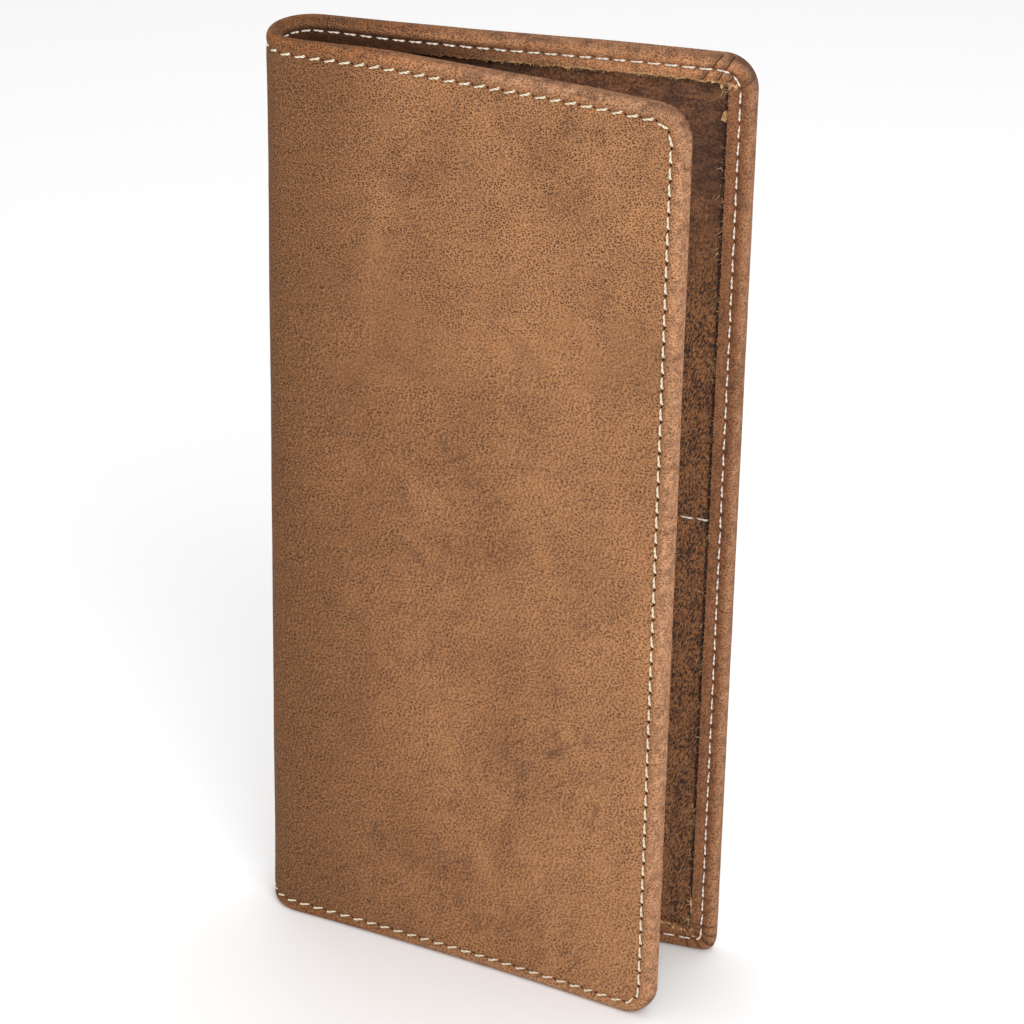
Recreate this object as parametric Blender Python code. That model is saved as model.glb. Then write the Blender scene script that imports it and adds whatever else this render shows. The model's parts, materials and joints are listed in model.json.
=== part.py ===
"""A tall bifold rodeo wallet that stands part open on its short edges.

Metres, +Z up. The fold is at -X and the free edges at +X; the front cover is on the -Y side.
Every piece is first made flat, as leather is cut: s runs along the outer surface from the middle of the
fold, d is the depth from the outer surface inwards, and z is the height. wrap() then bends it round
the fold, and climb() sets its height.
"""
import math

import bmesh
import bpy
from mathutils import Matrix, Vector

# Overall sizes
HEIGHT = 0.184
BACK_LENGTH = 0.0824
FRONT_LENGTH = 0.0792
BACK_RISE = 0.0013
CORNER_RADIUS = 0.0065

# The fold and the curve of the covers, as the wallet stands
BEND_RADIUS = 0.0078
COVER_ANGLE = math.radians(10.7)
BACK_BOW = math.radians(-3.0)
FRONT_BOW = math.radians(4.8)

# Thickness of each layer, and the space between layers
COVER_LEATHER = 0.0010
HEM_LEATHER = 0.0009
LINING = 0.0002
WALL = 0.0002
CARD_LEATHER = 0.00035
TOP_CARD_LEATHER = 0.00045
SLIP_LEATHER = 0.0006
LAYER_GAP = 0.0001

# The turned edge and its seam
RIM_WALL = 0.0012
RIM_ROUND = 0.0014
HEM_WIDTH = 0.0048
HEM_CORNER = 0.0012
PANEL_PLAY = 0.0003
SEAM_INSET = 0.0027
THREAD_RADIUS = 0.00035
GROOVE_PLAY = 0.0001

# Pocket mouths, measured from the end of the bend, and the stitched line between the banks of cards
WALL_MOUTH = 0.0030
CARD_MOUTHS = (0.0080, 0.0205)
TOP_CARD_MOUTH = 0.0330
SLIP_MOUTH = 0.0160
DIVIDER_HEIGHT = 0.0934

# The two lines that the fold turns on
CLOSING = math.radians(7.7)
MITRE_SPARE = math.radians(1.5)
HINGE_GAP = 0.0003
THREAD_SETBACK = 0.0006

# Facets
CORNER_STEPS = 5
RIM_STEPS = 3
BEND_STEPS = 7
COVER_STEPS = 6
THREAD_SIDES_STEP = 1
OVERRUN = 0.005
WELD = 1e-7

BEND_TURN = math.pi / 2 - COVER_ANGLE / 2
BEND_END = BEND_RADIUS * BEND_TURN
HINGE_S = BEND_END / 2
STACK = (LINING, WALL, *(CARD_LEATHER for mouth in CARD_MOUTHS), TOP_CARD_LEATHER)
EDGE_THICKNESS = COVER_LEATHER + sum(STACK) + (len(STACK) + 1) * LAYER_GAP + HEM_LEATHER
HEM_DEPTH = EDGE_THICKNESS - HEM_LEATHER
MITRE = (CLOSING + MITRE_SPARE) / 2

SIDES = {
    "back": (1, BACK_LENGTH, BACK_BOW),
    "front": (-1, FRONT_LENGTH, FRONT_BOW),
}


def wrap(s, d):
    """The plan position (x, y) of a point at s along the outer surface and d below it."""
    side, length, bow = SIDES["back"] if s >= 0 else SIDES["front"]
    run = abs(s)
    if run <= BEND_END:
        turn = run / BEND_RADIUS
        reach = BEND_RADIUS - d
        return -reach * math.cos(turn), side * reach * math.sin(turn)
    start = math.pi / 2 - BEND_TURN
    lean = start + (run - BEND_END) * bow / length
    big = length / bow
    x = -BEND_RADIUS * math.cos(BEND_TURN) + big * (math.sin(lean) - math.sin(start))
    y = BEND_RADIUS * math.sin(BEND_TURN) + big * (math.cos(start) - math.cos(lean))
    return x + d * math.sin(lean), side * (y - d * math.cos(lean))


def climb(s, z):
    """The height of a point once the back half is cut taller, evenly from the end of the bend to its free edge."""
    return z * (1 + max(s - BEND_END, 0.0) / BACK_LENGTH * BACK_RISE / HEIGHT)


def stations():
    """The places along s where a flat piece is split, so that it bends evenly."""
    bend = [BEND_END * step / BEND_STEPS for step in range(BEND_STEPS + 1)]
    places = {0.0}
    for side, length, _ in SIDES.values():
        cover = [BEND_END + length * step / COVER_STEPS for step in range(1, COVER_STEPS)]
        places.update(side * place for place in bend + cover)
    return sorted(places)


def slab(near, far, low, high, outer, inner, corner=0.0):
    """A flat slab in s, d and z, with its two far corners round."""
    bm = bmesh.new()
    size = Vector((far - near, inner - outer, high - low))
    centre = Vector((near + far, outer + inner, low + high)) / 2
    bmesh.ops.create_cube(bm, size=1.0, matrix=Matrix.Translation(centre) @ Matrix.Diagonal((*size, 1.0)))
    if corner > 0:
        ends = [edge for edge in bm.edges
                if abs(edge.verts[0].co.y - edge.verts[1].co.y) > size.y / 2
                and edge.verts[0].co.x > centre.x]
        bmesh.ops.bevel(bm, geom=ends, offset=corner, segments=CORNER_STEPS, profile=0.5, affect="EDGES")
    return bm


def round_rim(bm, near, far_open):
    """Round the slab's turned edges: the top, the bottom and, on a cover, the free edge."""
    far = max(vert.co.x for vert in bm.verts)
    low = min(vert.co.z for vert in bm.verts)
    high = max(vert.co.z for vert in bm.verts)
    rims = []
    for edge in bm.edges:
        first, second = (vert.co for vert in edge.verts)
        level = abs(first.y - second.y) < WELD
        at_near = first.x < near + WELD and second.x < near + WELD
        at_far = far_open and min(first.x, second.x) > far - WELD
        inside = low + WELD < first.z < high - WELD and first.x < far - CORNER_RADIUS
        if level and not at_near and not at_far and not inside:
            rims.append(edge)
    bmesh.ops.bevel(bm, geom=rims, offset=RIM_ROUND, segments=RIM_STEPS, profile=0.5, affect="EDGES")


def seam_line(near, far):
    """The seam's line in s and z: along the top, round the free edge and back along the bottom."""
    bend = CORNER_RADIUS - SEAM_INSET
    points = [(near, HEIGHT - SEAM_INSET)]
    for step in range(CORNER_STEPS + 1):
        turn = math.pi / 2 * step / CORNER_STEPS
        across, up = bend * math.sin(turn), bend * math.cos(turn)
        points.append((far - CORNER_RADIUS + across, HEIGHT - CORNER_RADIUS + up))
    return points + [(s, HEIGHT - z) for s, z in reversed(points)]


def cord(points, depth, radius):
    """A round thread along points in s and z, its middle at the given depth."""
    data = bpy.data.curves.new("thread", "CURVE")
    data.dimensions = "3D"
    data.bevel_depth = radius
    data.bevel_resolution = THREAD_SIDES_STEP
    data.use_fill_caps = True
    spline = data.splines.new("POLY")
    spline.points.add(len(points) - 1)
    for point, (s, z) in zip(spline.points, points):
        point.co = (s, depth, z, 1.0)
    holder = bpy.data.objects.new("thread", data)
    bpy.context.scene.collection.objects.link(holder)
    mesh = bpy.data.meshes.new_from_object(holder.evaluated_get(bpy.context.evaluated_depsgraph_get()))
    bpy.data.objects.remove(holder)
    bm = bmesh.new()
    bm.from_mesh(mesh)
    bpy.data.meshes.remove(mesh)
    bmesh.ops.remove_doubles(bm, verts=bm.verts, dist=WELD)
    bmesh.ops.recalc_face_normals(bm, faces=bm.faces)
    return bm


def carve(bm, cutters):
    """Cut the cutters out of a flat solid with exact Booleans."""
    scene = bpy.context.scene.collection
    holders = []
    for index, source in enumerate([bm, *cutters]):
        mesh = bpy.data.meshes.new(f"flat_{index}")
        source.to_mesh(mesh)
        source.free()
        holders.append(bpy.data.objects.new(f"flat_{index}", mesh))
        scene.objects.link(holders[-1])
    body = holders[0]
    for cutter in holders[1:]:
        cut = body.modifiers.new("cut", "BOOLEAN")
        cut.object = cutter
        cut.operation = "DIFFERENCE"
        cut.solver = "EXACT"
    bpy.context.view_layer.update()
    mesh = bpy.data.meshes.new_from_object(body.evaluated_get(bpy.context.evaluated_depsgraph_get()))
    result = bmesh.new()
    result.from_mesh(mesh)
    for holder in holders:
        bpy.data.objects.remove(holder)
    bpy.data.meshes.remove(mesh)
    return result


def fold_cut(setback):
    """The place and direction of a cut at the fold's line, leaning back so that the wallet can close."""
    start = HINGE_S + HINGE_GAP / 2 + setback
    lean = EDGE_THICKNESS * math.tan(MITRE) + HINGE_GAP / 2
    inner = HINGE_S + (setback + lean) * BEND_RADIUS / (BEND_RADIUS - EDGE_THICKNESS)
    normal = Vector((EDGE_THICKNESS, start - inner, 0.0)).normalized()
    return start, normal


def cut_end(bm, place, normal):
    """Keep what lies on the normal's side of a plane in s and d, and close the cut."""
    geometry = [*bm.verts, *bm.edges, *bm.faces]
    bmesh.ops.bisect_plane(bm, geom=geometry, dist=WELD, plane_co=(place, 0.0, 0.0), plane_no=normal,
                           clear_inner=True)
    rim = [edge for edge in bm.edges if edge.is_boundary]
    bmesh.ops.holes_fill(bm, edges=rim, sides=0)
    bmesh.ops.recalc_face_normals(bm, faces=bm.faces)


def trim_cover(bm, setback=0.0):
    """Trim the fold end of a cover's piece."""
    place, normal = fold_cut(setback)
    cut_end(bm, place, normal)
    return bm


def trim_spine(bm, setback=0.0):
    """Trim both ends of a piece that lies between the two hinge lines."""
    place, normal = fold_cut(setback)
    end = 2 * HINGE_S - place
    cut_end(bm, end, Vector((-normal.x, normal.y, 0.0)))
    cut_end(bm, -end, Vector((normal.x, normal.y, 0.0)))
    return bm


def turned_shell(near, far, far_open):
    """Cover leather with its edges turned over and inwards, as a flat channel."""
    corner = 0.0 if far_open else CORNER_RADIUS
    shell = slab(near, far, 0.0, HEIGHT, 0.0, EDGE_THICKNESS, corner)
    round_rim(shell, near, far_open)
    inner_far = far + OVERRUN if far_open else far - RIM_WALL
    window_far = far + OVERRUN if far_open else far - HEM_WIDTH
    channel = slab(near - OVERRUN, inner_far, RIM_WALL, HEIGHT - RIM_WALL, COVER_LEATHER, HEM_DEPTH,
                   0.0 if far_open else CORNER_RADIUS - RIM_WALL)
    window = slab(near - OVERRUN, window_far, HEM_WIDTH, HEIGHT - HEM_WIDTH, HEM_DEPTH - LAYER_GAP,
                  EDGE_THICKNESS + OVERRUN, 0.0 if far_open else HEM_CORNER)
    if far_open:
        lines = [[(near - OVERRUN, z), (far + OVERRUN, z)] for z in (HEIGHT - SEAM_INSET, SEAM_INSET)]
    else:
        lines = [seam_line(near - OVERRUN, far)]
    grooves = [cord(line, depth, THREAD_RADIUS + GROOVE_PLAY)
               for line in lines for depth in (0.0, EDGE_THICKNESS)]
    return carve(shell, [channel, window, *grooves])


def panel(near, far, outer, thickness):
    """A flat panel held under the turned edge on three sides."""
    inset = RIM_WALL + PANEL_PLAY
    return slab(near, far - inset, inset, HEIGHT - inset, outer, outer + thickness, CORNER_RADIUS - inset)


def finish(bm, name, body, side, material):
    """Split a flat piece along the fold's stations, bend it, and place it on its body's empty."""
    if side < 0:
        bmesh.ops.scale(bm, vec=(-1.0, 1.0, 1.0), verts=bm.verts)
    for place in stations():
        bmesh.ops.bisect_plane(bm, geom=[*bm.verts, *bm.edges, *bm.faces], dist=WELD,
                               plane_co=(place, 0.0, 0.0), plane_no=(1.0, 0.0, 0.0))
    bmesh.ops.triangulate(bm, faces=bm.faces)
    for vert in bm.verts:
        s, d, z = vert.co
        vert.co = (*wrap(s, d), climb(s, z))
    bmesh.ops.remove_doubles(bm, verts=bm.verts, dist=WELD)
    bmesh.ops.dissolve_degenerate(bm, dist=WELD, edges=bm.edges)
    bmesh.ops.recalc_face_normals(bm, faces=bm.faces)
    pivot = PIVOTS[body]
    bmesh.ops.translate(bm, vec=-pivot, verts=bm.verts)
    mesh = bpy.data.meshes.new(name)
    bm.to_mesh(mesh)
    bm.free()
    mesh.shade_smooth()
    mesh.set_sharp_from_angle(angle=math.radians(30))
    mesh.materials.append(material)
    piece = bpy.data.objects.new(name, mesh)
    collection.objects.link(piece)
    piece.parent = empties[body]
    return piece


def material(name, colour, roughness):
    """A plain material in the photograph's colour."""
    made = bpy.data.materials.new(name)
    made.use_nodes = True
    shader = made.node_tree.nodes["Principled BSDF"]
    shader.inputs["Base Color"].default_value = (*colour, 1.0)
    shader.inputs["Roughness"].default_value = roughness
    shader.inputs["Metallic"].default_value = 0.0
    made.diffuse_color = (*colour, 1.0)
    return made


def leather_cover(half):
    """One half's outer leather, from its hinge line to its free edge."""
    side, length, _ = SIDES[half]
    shell = trim_cover(turned_shell(0.0, BEND_END + length, False))
    finish(shell, f"{half}_cover", half, side, material(f"{half}_cover", (0.43, 0.24, 0.11), 0.8))


def seam_threads(half):
    """The needle thread outside and the bobbin thread on the hem, each round three edges."""
    side, length, _ = SIDES[half]
    for kind, depth in (("seam", 0.0), ("hem", EDGE_THICKNESS)):
        line = seam_line(0.0, BEND_END + length)
        thread = trim_cover(cord(line, depth, THREAD_RADIUS), THREAD_SETBACK)
        name = f"{half}_{kind}_thread"
        finish(thread, name, half, side, material(name, (0.80, 0.72, 0.56), 0.7))


def lining(half):
    """The bill compartment's lining, next to the outer leather."""
    side, length, _ = SIDES[half]
    sheet = trim_cover(panel(0.0, BEND_END + length, COVER_LEATHER + LAYER_GAP, LINING))
    finish(sheet, f"{half}_lining", half, side, material(f"{half}_lining", (0.20, 0.13, 0.08), 0.9))


def inner_wall(half):
    """The wall between the bill compartment and the pockets."""
    side, length, _ = SIDES[half]
    depth = COVER_LEATHER + LINING + 2 * LAYER_GAP
    sheet = panel(BEND_END + WALL_MOUTH, BEND_END + length, depth, WALL)
    finish(sheet, f"{half}_inner_wall", half, side, material(f"{half}_inner_wall", (0.22, 0.14, 0.09), 0.9))


def card_pockets():
    """The back half's card pockets, each mouth further from the fold than the one behind it."""
    side, length, _ = SIDES["back"]
    depth = COVER_LEATHER + LINING + WALL + 3 * LAYER_GAP
    leathers = [(mouth, CARD_LEATHER) for mouth in CARD_MOUTHS] + [(TOP_CARD_MOUTH, TOP_CARD_LEATHER)]
    for number, (mouth, leather) in enumerate(leathers, start=1):
        sheet = panel(BEND_END + mouth, BEND_END + length, depth, leather)
        name = f"card_pocket_{number}"
        finish(sheet, name, "back", side, material(name, (0.11, 0.055, 0.03), 0.7))
        depth += leather + LAYER_GAP


def card_divider():
    """The stitched line that parts the upper bank of cards from the lower one."""
    side, length, _ = SIDES["back"]
    depth = HEM_DEPTH - LAYER_GAP + GROOVE_PLAY + THREAD_RADIUS
    start = BEND_END + TOP_CARD_MOUTH + THREAD_SETBACK
    end = BEND_END + length - HEM_WIDTH - THREAD_SETBACK
    thread = cord([(start, DIVIDER_HEIGHT), (end, DIVIDER_HEIGHT)], depth, THREAD_RADIUS)
    name = "card_divider_thread"
    finish(thread, name, "back", side, material(name, (0.80, 0.72, 0.56), 0.7))


def slip_pocket():
    """The front half's one long pocket for a check book."""
    side, length, _ = SIDES["front"]
    depth = HEM_DEPTH - LAYER_GAP - SLIP_LEATHER
    sheet = panel(BEND_END + SLIP_MOUTH, BEND_END + length, depth, SLIP_LEATHER)
    finish(sheet, "slip_pocket", "front", side, material("slip_pocket", (0.11, 0.055, 0.03), 0.7))


def spine():
    """The middle of the fold: outer leather, lining and four short threads."""
    shell = trim_spine(turned_shell(-HINGE_S, HINGE_S, True))
    finish(shell, "spine_cover", "spine", 1, material("spine_cover", (0.40, 0.22, 0.10), 0.8))
    inset = RIM_WALL + PANEL_PLAY
    start = COVER_LEATHER + LAYER_GAP
    sheet = trim_spine(slab(-HINGE_S, HINGE_S, inset, HEIGHT - inset, start, start + LINING))
    finish(sheet, "spine_lining", "spine", 1, material("spine_lining", (0.20, 0.13, 0.08), 0.9))
    for end, z in (("top", HEIGHT - SEAM_INSET), ("bottom", SEAM_INSET)):
        for kind, depth in (("seam", 0.0), ("hem", EDGE_THICKNESS)):
            thread = trim_spine(cord([(-HINGE_S, z), (HINGE_S, z)], depth, THREAD_RADIUS), THREAD_SETBACK)
            name = f"spine_{end}_{kind}_thread"
            finish(thread, name, "spine", 1, material(name, (0.80, 0.72, 0.56), 0.7))


def centre_on_base():
    """Move the whole wallet so that the middle of its base is at the origin."""
    bpy.context.view_layer.update()
    corners = [piece.matrix_world @ vert.co for piece in collection.objects if piece.type == "MESH"
               for vert in piece.data.vertices]
    middle = [(min(point[axis] for point in corners) + max(point[axis] for point in corners)) / 2
              for axis in (0, 1)]
    empties["back"].location -= Vector((*middle, 0.0))
    bpy.context.view_layer.update()


for old in list(bpy.data.objects):
    bpy.data.objects.remove(old, do_unlink=True)

collection = bpy.data.collections.new("rodeo_wallet")
bpy.context.scene.collection.children.link(collection)

PIVOTS = {
    "back": Vector((0.0, 0.0, 0.0)),
    "spine": Vector((*wrap(HINGE_S, 0.0), 0.0)),
    "front": Vector((*wrap(-HINGE_S, 0.0), 0.0)),
}
PARENTS = {"back": None, "spine": "back", "front": "spine"}

empties = {}
for body, pivot in PIVOTS.items():
    empty = bpy.data.objects.new(f"{body}_joint", None)
    collection.objects.link(empty)
    parent = PARENTS[body]
    if parent:
        empty.parent = empties[parent]
        empty.location = pivot - PIVOTS[parent]
    empties[body] = empty

for half in SIDES:
    leather_cover(half)
    seam_threads(half)
    lining(half)
    inner_wall(half)
card_pockets()
card_divider()
slip_pocket()
spine()
centre_on_base()
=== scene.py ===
"""The looks of a tall bifold rodeo wallet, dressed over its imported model.

Metres, +Z up. As in the model, leather is first laid flat: s runs along the outer surface from the middle of
the fold, d is the depth from the outer surface inwards, and z is the height. wrap() bends it round the fold.
"""

import json
import math
import random
from functools import partialmethod

import bmesh
import bpy
from mathutils import Matrix, Vector, noise


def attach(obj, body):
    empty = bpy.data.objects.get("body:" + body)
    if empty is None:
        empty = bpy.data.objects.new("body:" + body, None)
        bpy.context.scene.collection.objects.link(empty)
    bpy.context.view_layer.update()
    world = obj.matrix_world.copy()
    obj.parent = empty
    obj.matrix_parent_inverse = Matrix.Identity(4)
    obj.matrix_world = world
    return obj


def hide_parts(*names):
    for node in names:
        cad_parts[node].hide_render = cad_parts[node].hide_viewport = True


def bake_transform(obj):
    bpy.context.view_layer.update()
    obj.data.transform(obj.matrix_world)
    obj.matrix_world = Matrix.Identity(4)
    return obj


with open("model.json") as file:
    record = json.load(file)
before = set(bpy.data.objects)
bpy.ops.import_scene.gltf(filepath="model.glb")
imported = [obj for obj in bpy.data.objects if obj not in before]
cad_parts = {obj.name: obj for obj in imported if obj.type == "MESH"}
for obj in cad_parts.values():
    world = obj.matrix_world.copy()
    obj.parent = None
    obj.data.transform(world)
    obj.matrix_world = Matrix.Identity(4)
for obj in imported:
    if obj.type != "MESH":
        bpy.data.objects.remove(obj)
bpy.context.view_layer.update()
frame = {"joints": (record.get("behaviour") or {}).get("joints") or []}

# The wallet's sizes, as in the model
HEIGHT = 0.184
BACK_LENGTH = 0.0824
FRONT_LENGTH = 0.0792
BACK_RISE = 0.0013
CORNER_RADIUS = 0.0065
BEND_RADIUS = 0.0078
COVER_ANGLE = math.radians(10.7)
BACK_BOW = math.radians(-3.0)
FRONT_BOW = math.radians(4.8)
EDGE_THICKNESS = 0.00405
COVER_LEATHER = 0.0010
HEM_LEATHER = 0.0009
HEM_WIDTH = 0.0048
SEAM_INSET = 0.0027
PANEL_INSET = 0.0015
LAYER_GAP = 0.0001
LINING = 0.0002
WALL = 0.0002
CARD_LEATHER = 0.00035
TOP_CARD_LEATHER = 0.00045
SLIP_LEATHER = 0.0006
WALL_MOUTH = 0.0030
CARD_MOUTHS = (0.0080, 0.0205)
TOP_CARD_MOUTH = 0.0330
SLIP_MOUTH = 0.0160
DIVIDER_HEIGHT = 0.0934

QUARTER_TURN = math.pi / 2
BEND_TURN = QUARTER_TURN - COVER_ANGLE / 2
BEND_END = BEND_RADIUS * BEND_TURN
HINGE_S = BEND_END / 2
HEM_DEPTH = EDGE_THICKNESS - HEM_LEATHER
SIDES = {
    "back": (1, BACK_LENGTH, BACK_BOW),
    "front": (-1, FRONT_LENGTH, FRONT_BOW),
}

# A height near the middle, where the lights aim and the fray's upright is taken
MID_HEIGHT = 0.09

# How finely the leather is divided, and how it thins and dips at the fold
FIELD_STEP = 0.0015
BEND_STEP = 0.0005
APEX_STEP = 0.00005
EDGE_CUTS = 3
EDGE_BAND = 0.0014
FOLD_SHARE = 0.62
FOLD_START = BEND_END * 0.7
FOLD_REACH = 0.022
FOLD_SLACK = 0.0003
DIP_START = 0.65
DIP_RATE = 3
FOLD_DIP = 0.0007
FOLD_DIP_MIDDLE = -0.010
FOLD_DIP_END = 0.024
TOP_DIP = 0.0004
TOP_DIP_END = 0.075
CORNER_POWER = 6.0
SHARP = math.radians(50)

# The turned edge, the pull of the thread and the leather's own unevenness
RIM_ROUND = 0.0017
SKIN = 0.0009
SEAM_SINK = 0.00016
SEAM_SPREAD = 0.0006
HOLE_SINK = 0.00030
HOLE_SPREAD = 0.00036
PUFF = 0.00016
PUFF_SPREAD = 0.0019
SWELL = 0.00014
SWELL_SCALE = 42.0
RIPPLE = 0.00004
RIPPLE_SCALE = 150.0
PLEAT_RISE = 0.00040
PLEAT_END = 0.25
PLEAT_FOOT = 0.0004
PLEAT_FALL = 0.0013
# Where round the corner each pleat lies, as a share of the quarter turn, and its size
PLEATS = ((0.10, 0.8), (0.30, 0.7), (0.47, 1.0), (0.66, 0.8), (0.90, 1.0))
# Each straight lap's start and end in mm from the hem's inner top corner, and its size
LAPS = (
    ((-5.2, 0.1), (-1.7, 4.8), 1.0),
    ((-2.4, 0.2), (0.6, 4.8), 1.0),
    ((-0.4, 0.1), (1.2, 1.7), 0.9),
    ((3.0, 0.0), (4.6, 1.3), 0.8),
    ((-76.0, 1.6), (-76.0, 5.6), 0.6),
)
LAP_RISE = 0.00034
LAP_PRESS = 0.0006
LAP_PRESSED = 0.8
PLEAT_PRESSED = 0.7
LAP_FADE = 0.6
LAP_FOOT = 0.25
LAP_FALL = 1.4
PLEAT_LINE = 0.06
PLEAT_LINE_BACK = 0.035
# Each scrap's corner, place, length and width in mm, turn in degrees and height in mm
FLAKES = (
    ("top", 0.70, -0.75, 1.60, 1.15, 8, 0.22),
    ("top", 0.55, -2.90, 2.10, 0.48, 94, 0.16),
    ("top", 0.05, 0.05, 1.20, 0.65, 125, 0.16),
    ("top", -0.60, -6.30, 2.00, 1.05, 72, -0.35),
    ("top", -1.40, -0.55, 1.10, 0.50, 80, -0.10),
    ("top", -2.70, 0.05, 1.20, 0.50, 15, 0.12),
    ("bottom", -2.90, -0.20, 1.50, 0.55, -8, 0.22),
    ("bottom", -1.10, -0.40, 1.60, 0.90, -15, 0.25),
    ("bottom", 0.05, -0.10, 1.60, 0.52, -75, 0.25),
    ("bottom", -4.30, 0.35, 1.00, 0.50, -35, 0.15),
    ("bottom", -5.50, 0.45, 0.80, 0.40, 20, 0.15),
    ("bottom", -0.10, 5.10, 4.40, 0.36, 95, 0.00),
)
FLAKE_LEATHER = 0.00010
FLAKE_RAGGED = 0.55
FLAKE_CURL = 0.10
FLAKE_BUCKLE = 0.06
# Each strand's place in mm from the inner bottom corner, way, length, curl and thickness in mm
STRANDS = (
    (0.15, 1.3, (0.02, 1.0), 3.9, 0.25, 0.15),
    (0.22, 3.6, (-0.05, 1.0), 3.8, -0.25, 0.17),
    (0.02, 2.4, (0.06, 1.0), 4.6, 0.15, 0.12),
    (0.25, 4.8, (-0.10, 1.0), 3.0, 0.30, 0.11),
    (0.05, 3.4, (-0.9, 0.75), 1.3, 0.20, 0.12),
    (0.05, 5.6, (-1.0, -0.25), 1.2, 0.60, 0.09),
    (0.10, 7.2, (-0.3, 0.9), 1.1, 0.90, 0.10),
    (0.35, 0.9, (0.2, 0.9), 1.0, 0.80, 0.12),
)

# The ragged cut edge, and its loose fibres: their gaps, lengths and thicknesses are drawn between two ends
HEM_SPARE = 0.0005
RAGGED = 0.00034
RAGGED_NOISE = ((1.0, 600), (2.0, 1700))
FIBRE_CUTS = 2
FRAY_START = 0.030
FRAY_LEAST = 0.10
FRAY_AT_FOLD = 0.02
FRAY_GAP = (0.00004, 0.00012)
FRAY_LENGTH = (0.0003, 0.0009)
FRAY_THICKNESS = (0.00004, 0.00009)
FRAY_SPREAD = 0.0025
FRAY_CURL = 0.7
FRAY_PATCHES = 190
NEARBY = 0.0005
STRAYS = 900
STRAY_LENGTH = (0.0006, 0.0018)
STRAY_THICKNESS = 0.00007
STRAY_CURL = 1.1
STRAY_REACH = 0.0011
STRAY_SINK = 0.00012
STRAY_PATCHES = 150
CORNER_TUFTS = ((1, 26), (-1, 44))
TUFT_LENGTH = (0.0006, 0.0020)
TUFT_THICKNESS = 0.00006
TUFT_CURL = 1.2
STRAND_SINK = 0.0002
NAP_GAP = (0.00005, 0.00014)
NAP_LENGTH = (0.00014, 0.00032)
NAP_THICKNESS = 0.000035
NAP_CURL = 0.8
NAP_START = 0.0006
NAP_SINK = 0.0001
NAP_MARGIN = 0.06

# The sheets inside: their divisions, their own unevenness and the line pressed along a pocket's mouth
PANEL_STEPS = (0.0004, 0.002, 0.0001, 0.001)
PANEL_LEVELS = (0.001, 0.002, 0.001)
MOUTH_BAND = 0.004
PANEL_EASE = 0.012
PANEL_WAVE = 0.00012
PANEL_WAVE_SCALE = 60
BULGE_REACH = 0.03
MOUTH_LINE = 0.0016
MOUTH_LINE_SINK = 0.00010
MOUTH_LINE_SPREAD = 0.0003

# The dark strip beside the back half's column
STRIP = 0.0005
STRIP_GAP = 0.0003
STRIP_SINK = 0.00035

# Thread
STITCH = {"back": 0.00319, "front": 0.00304}
# Each kind's radius, its thinner start's share of that, how high it stands and how far it strays
THREADS = {
    "seam": (0.00027, 0.45, 0.00008, 0.00004),
    "hem": (0.00020, 0.75, 0.00003, 0.00010),
    "divider": (0.00020, 0.75, 0.00010, 0.00012),
}
STITCH_GAP = 0.00027
STITCH_LIFT = 0.00014
STITCH_RINGS = 9
STITCH_TWIST = math.radians(430)
STITCH_LEVEL = 0.7
# How deep a stitch's ends go into the leather, in radii, and how sharply they bend there
STITCH_DIVE = 1.6
STITCH_POWER = 5
# How a stitch thickens from its start and thins at its tip, and how narrow its two plies are between them
STITCH_START = 0.15
STITCH_SWELLING = 1.3
STITCH_TIP = 0.45
STITCH_TAPER = 3.8
PLY_WAIST = 0.60
GAP_VARIES = (0.85, 1.25)
SLANT_VARIES = (0.75, 1.2)
ROW_SLANT = 0.00036
COLUMN_SLANT = 0.00016
# How far inside the pocket's mouth the divider starts, and how high it stands where the pocket bulges
DIVIDER_INSET = 0.0006
DIVIDER_RISE = 0.0003


def wrap(s, d):
    """The plan position (x, y) of a point at s along the outer surface and d below it."""
    side, length, bow = SIDES["back"] if s >= 0 else SIDES["front"]
    run = abs(s)
    if run <= BEND_END:
        turn = run / BEND_RADIUS
        reach = BEND_RADIUS - d
        return -reach * math.cos(turn), side * reach * math.sin(turn)
    start = QUARTER_TURN - BEND_TURN
    lean = start + (run - BEND_END) * bow / length
    big = length / bow
    x = -BEND_RADIUS * math.cos(BEND_TURN) + big * (math.sin(lean) - math.sin(start))
    y = BEND_RADIUS * math.sin(BEND_TURN) + big * (math.cos(start) - math.cos(lean))
    return x + d * math.sin(lean), side * (y - d * math.cos(lean))


# The model's own hinge line says where the middle of the fold's curve is
hinge = Vector(next(joint["pos_m"] for joint in frame["joints"] if joint["name"] == "back_fold"))
FOLD_CENTRE = Vector((hinge.x, hinge.y, 0.0)) - Vector((*wrap(HINGE_S, 0.0), 0.0))


def smooth(value):
    """0 below 0, 1 above 1 and a smooth rise between."""
    value = min(max(value, 0.0), 1.0)
    return value * value * (3 - 2 * value)


def tightened(s, z):
    """The back half's bottom corner, drawn out from a quarter circle to a tighter curve."""
    over, under = s - (BEND_END + BACK_LENGTH - CORNER_RADIUS), CORNER_RADIUS - z
    if over <= 0 or under <= 0:
        return s, z
    reach = math.hypot(over, under)
    grow = reach / (over ** CORNER_POWER + under ** CORNER_POWER) ** (1 / CORNER_POWER)
    return s + over * (grow - 1), z - under * (grow - 1)


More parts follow.
